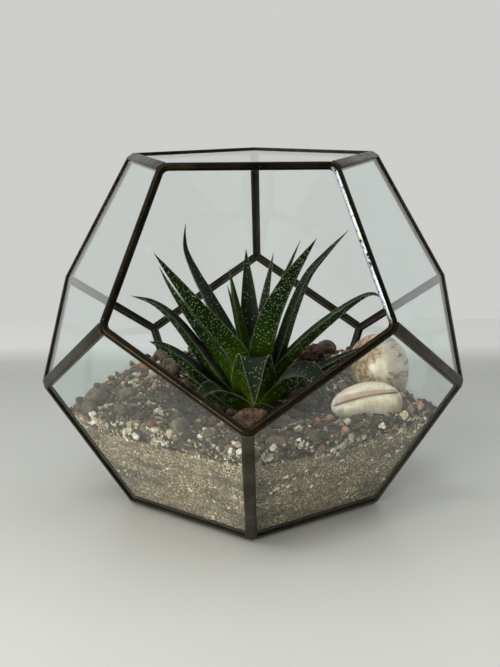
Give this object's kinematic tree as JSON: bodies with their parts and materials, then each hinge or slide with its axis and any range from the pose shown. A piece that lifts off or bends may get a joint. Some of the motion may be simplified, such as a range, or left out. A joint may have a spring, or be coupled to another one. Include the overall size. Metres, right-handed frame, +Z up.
{
  "type": "planted glass terrarium",
  "caption": "Faceted glass vessel of pentagonal panes soldered at dark metal seams, open at one upper face, filled with sand and gritty mix, planted with a spiky rosette beside cowrie shells.",
  "frame": {"origin": "centre of the footprint on the surface the vessel stands on, under the middle of the bottom pane", "axes": "+Z up; -Y towards the front, where the open upper face is; +X to the right of someone facing the opening"},
  "size_m": [0.2092, 0.22, 0.18],
  "materials": {
    "glass": "clear, smooth, 2 mm sheet",
    "solder": "satin dark bronze patina over solder",
    "rim_rod": "satin dark bronze patina, rubbed brighter on its crests",
    "sand": "matt loose grain",
    "potting_mix": "matt gritty crumb",
    "fired_clay": "matt porous",
    "lava": "matt rough",
    "brick": "matt crushed",
    "shell": "glossy, smooth",
    "leaf": "waxy satin with raised pale dots"
  },
  "bodies": {
    "root": {"brick_chip_1": "brick", "clay_pebble_1": "fired_clay", "clay_pebble_2": "fired_clay", "clay_pebble_3": "fired_clay", "clay_pebble_4": "fired_clay", "clay_pebble_5": "fired_clay", "clay_pebble_6": "fired_clay", "clay_pebble_7": "fired_clay", "cowrie_back": "shell", "cowrie_front": "shell", "crown": "leaf", "lava_stone_1": "lava", "lava_stone_2": "lava", "lava_stone_3": "lava", "lava_stone_4": "lava", "lava_stone_5": "lava", "leaf_back": "leaf", "leaf_back_left_tall": "leaf", "leaf_back_right": "leaf", "leaf_front": "leaf", "leaf_front_left": "leaf", "leaf_front_left_low": "leaf", "leaf_front_low": "leaf", "leaf_front_right": "leaf", "leaf_front_right_bent": "leaf", "leaf_heart": "leaf", "leaf_heart_small": "leaf", "leaf_left_arching": "leaf", "leaf_left_dark": "leaf", "leaf_left_low": "leaf", "leaf_left_under": "leaf", "leaf_right_arching": "leaf", "leaf_right_low": "leaf", "leaf_right_slim": "leaf", "leaf_right_tall": "leaf", "mouth_rim": "rim_rod", "pane_bottom": "glass", "pane_lower_back": "glass", "pane_lower_front_left": "glass", "pane_lower_front_right": "glass", "pane_lower_left": "glass", "pane_lower_right": "glass", "pane_top": "glass", "pane_upper_back_left": "glass", "pane_upper_back_right": "glass", "pane_upper_left": "glass", "pane_upper_right": "glass", "potting_mix": "potting_mix", "sand_bed": "sand", "solder_frame": "solder"}
  },
  "joints": []
}
